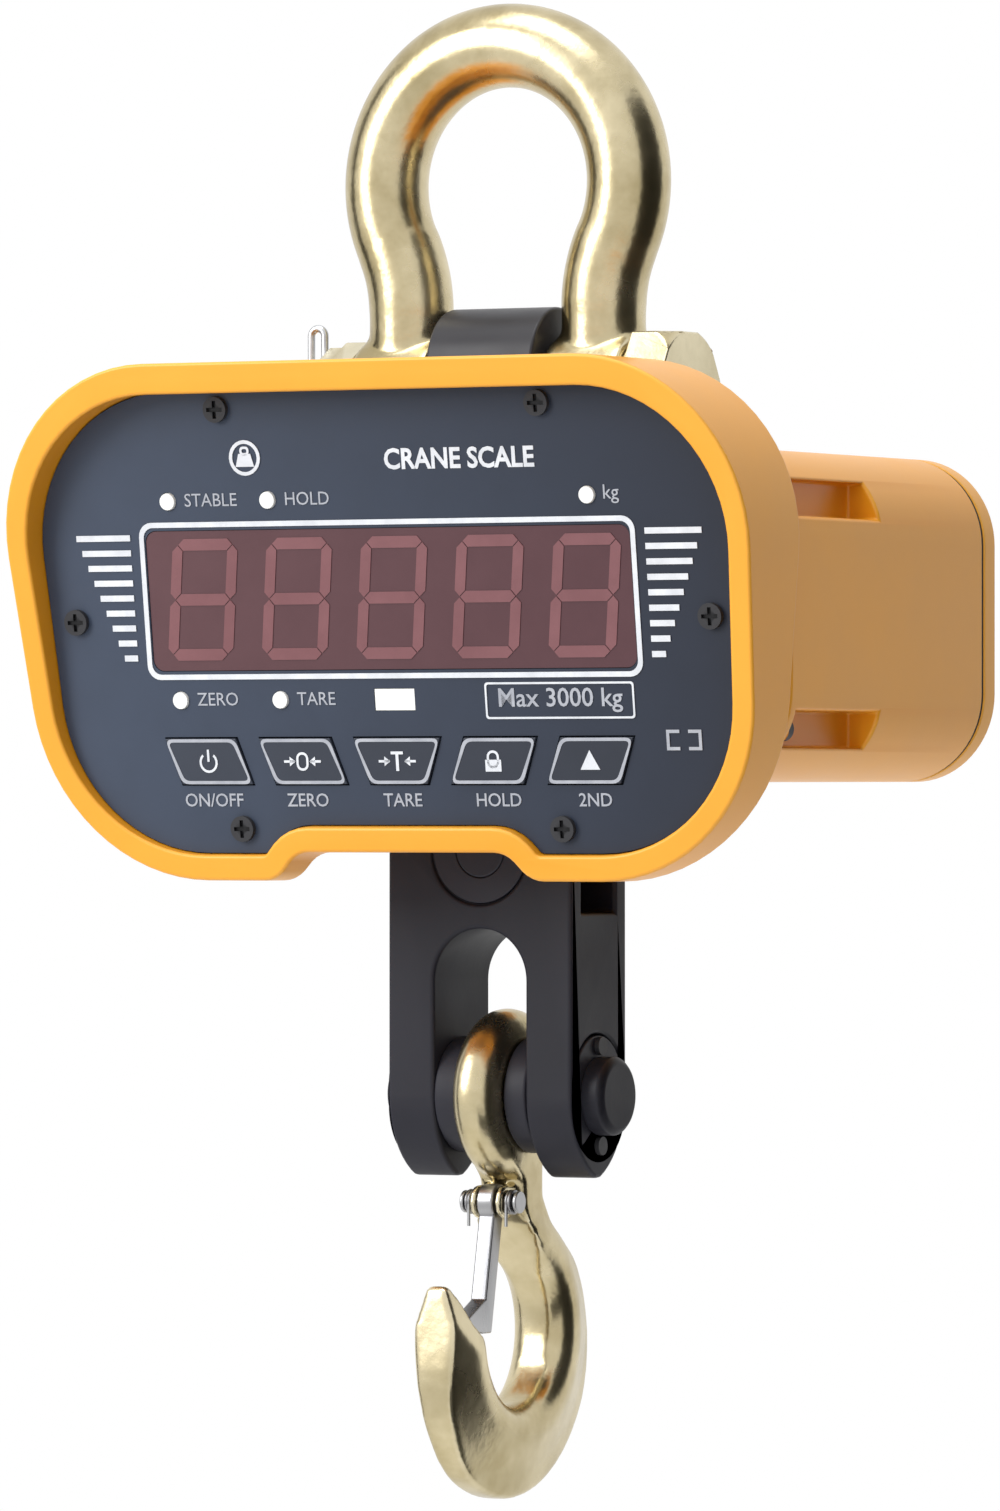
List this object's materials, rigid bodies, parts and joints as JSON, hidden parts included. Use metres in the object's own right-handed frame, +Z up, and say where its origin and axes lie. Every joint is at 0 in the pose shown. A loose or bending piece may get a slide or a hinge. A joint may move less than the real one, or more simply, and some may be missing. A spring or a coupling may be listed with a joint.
{
  "type": "crane_scale",
  "caption": "Hanging crane scale: gold bow shackle, tilted orange display housing with keys, black link block and a latched swivel hook on cross pins",
  "frame": {"origin": "inner crown seat of the bow, where a hoist hook carries the scale", "axes": "+X right seen from the display, +Y to the rear, +Z up"},
  "size_m": [0.208, 0.1515, 0.3725],
  "materials": {
    "hardware_gold": "gold-coloured zinc coating on forged steel, glossy with long streaked reflections",
    "zinc_steel": "zinc-plated steel",
    "cell_steel": "blackened tool steel",
    "gauge_foil": "foil gauge on a film backing",
    "seal_rubber": "black rubber",
    "housing_orange": "smooth glossy orange coating on cast aluminium",
    "dark_screws": "blackened screws",
    "black_plastic": "black moulded plastic",
    "panel_grey": "slate-grey printed face sheet on a plastic plate",
    "window_red": "dark red filter window",
    "lamp_white": "milky white lens",
    "digit_plastic": "seven-segment digit blocks with pale segments",
    "board_green": "green circuit board",
    "key_grey": "slate-grey key with a white printed outline and icon",
    "brass_standoff": "plain brass",
    "cable_grey": "grey insulated cable",
    "lead_red": "red insulated lead",
    "battery_wrap": "blue shrink-wrapped cells",
    "block_black": "blue-black oxide steel, half-gloss",
    "latch_steel": "plain pressed steel"
  },
  "bodies": {
    "shackle": {"shackle_bow": "hardware_gold", "shackle_bolt": "hardware_gold", "shackle_nut": "hardware_gold", "shackle_split_pin": "zinc_steel"},
    "hook_block": {"hook_block": "block_black", "link_pin": "block_black", "link_rings": "block_black", "hook_pin": "block_black", "hook_pin_ring": "block_black", "pin_keepers": "block_black", "keeper_screws": "dark_screws", "hook_spacers": "block_black"},
    "hook": {"hook": "hardware_gold", "latch_pin": "latch_steel"},
    "latch": {"latch": "latch_steel", "latch_spring": "latch_steel"},
    "key_power": {"key_power": "key_grey"},
    "key_zero": {"key_zero": "key_grey"},
    "key_tare": {"key_tare": "key_grey"},
    "key_hold": {"key_hold": "key_grey"},
    "key_second": {"key_second": "key_grey"},
    "scale_body": {"load_cell": "cell_steel", "gauge_covers": "zinc_steel", "strain_gauges": "gauge_foil", "top_seal": "seal_rubber", "bottom_seal": "seal_rubber", "chassis_plate": "zinc_steel", "chassis_screws": "zinc_steel", "front_housing": "housing_orange", "housing_gasket": "seal_rubber", "rear_housing": "housing_orange", "housing_screws": "dark_screws", "rear_cover": "housing_orange", "cover_gasket": "seal_rubber", "cover_screws": "dark_screws", "battery_door": "housing_orange", "door_gasket": "seal_rubber", "door_screws": "dark_screws", "charge_socket": "black_plastic", "socket_nut": "zinc_steel", "display_panel": "panel_grey", "panel_gasket": "seal_rubber", "panel_screws": "dark_screws", "display_window": "window_red", "receiver_window": "lamp_white", "led_digits": "digit_plastic", "indicator_leds": "lamp_white", "display_board": "board_green", "key_board": "board_green", "board_pillars": "zinc_steel", "pillar_screws": "zinc_steel", "key_switches": "black_plastic", "main_board": "board_green", "board_standoffs": "brass_standoff", "board_screws": "zinc_steel", "ribbon_cable": "cable_grey", "cell_cable": "cable_grey", "battery_pack": "battery_wrap", "battery_tray": "zinc_steel", "battery_lead": "lead_red"}
  },
  "joints": [
    {"name": "body_swing", "type": "hinge", "parent": "shackle", "child": "scale_body", "pos_m": [0, 0, -0.078], "axis": [1, 0, 0], "range_deg": [-60, 85]},
    {"name": "link_swing", "type": "hinge", "parent": "scale_body", "child": "hook_block", "pos_m": [0, 0, -0.19], "axis": [0, 1, 0], "range_deg": [-15, 15]},
    {"name": "hook_swing", "type": "hinge", "parent": "hook_block", "child": "hook", "pos_m": [0, 0, -0.251], "axis": [1, 0, 0], "range_deg": [-80, 80]},
    {"name": "latch_open", "type": "hinge", "parent": "hook", "child": "latch", "pos_m": [0, -0.0075, -0.2775], "axis": [1, 0, 0], "range_deg": [0, 35], "stiffness_Nm_per_rad": 0.02, "springref_deg": -34.38},
    {"name": "power_press", "type": "slide", "parent": "scale_body", "child": "key_power", "axis": [0, 0.9914, 0.1305], "range_m": [0, 0.0006], "stiffness_N_per_m": 400, "springref_m": -0.0004},
    {"name": "zero_press", "type": "slide", "parent": "scale_body", "child": "key_zero", "axis": [0, 0.9914, 0.1305], "range_m": [0, 0.0006], "stiffness_N_per_m": 400, "springref_m": -0.0004},
    {"name": "tare_press", "type": "slide", "parent": "scale_body", "child": "key_tare", "axis": [0, 0.9914, 0.1305], "range_m": [0, 0.0006], "stiffness_N_per_m": 400, "springref_m": -0.0004},
    {"name": "hold_press", "type": "slide", "parent": "scale_body", "child": "key_hold", "axis": [0, 0.9914, 0.1305], "range_m": [0, 0.0006], "stiffness_N_per_m": 400, "springref_m": -0.0004},
    {"name": "second_press", "type": "slide", "parent": "scale_body", "child": "key_second", "axis": [0, 0.9914, 0.1305], "range_m": [0, 0.0006], "stiffness_N_per_m": 400, "springref_m": -0.0004}
  ]
}
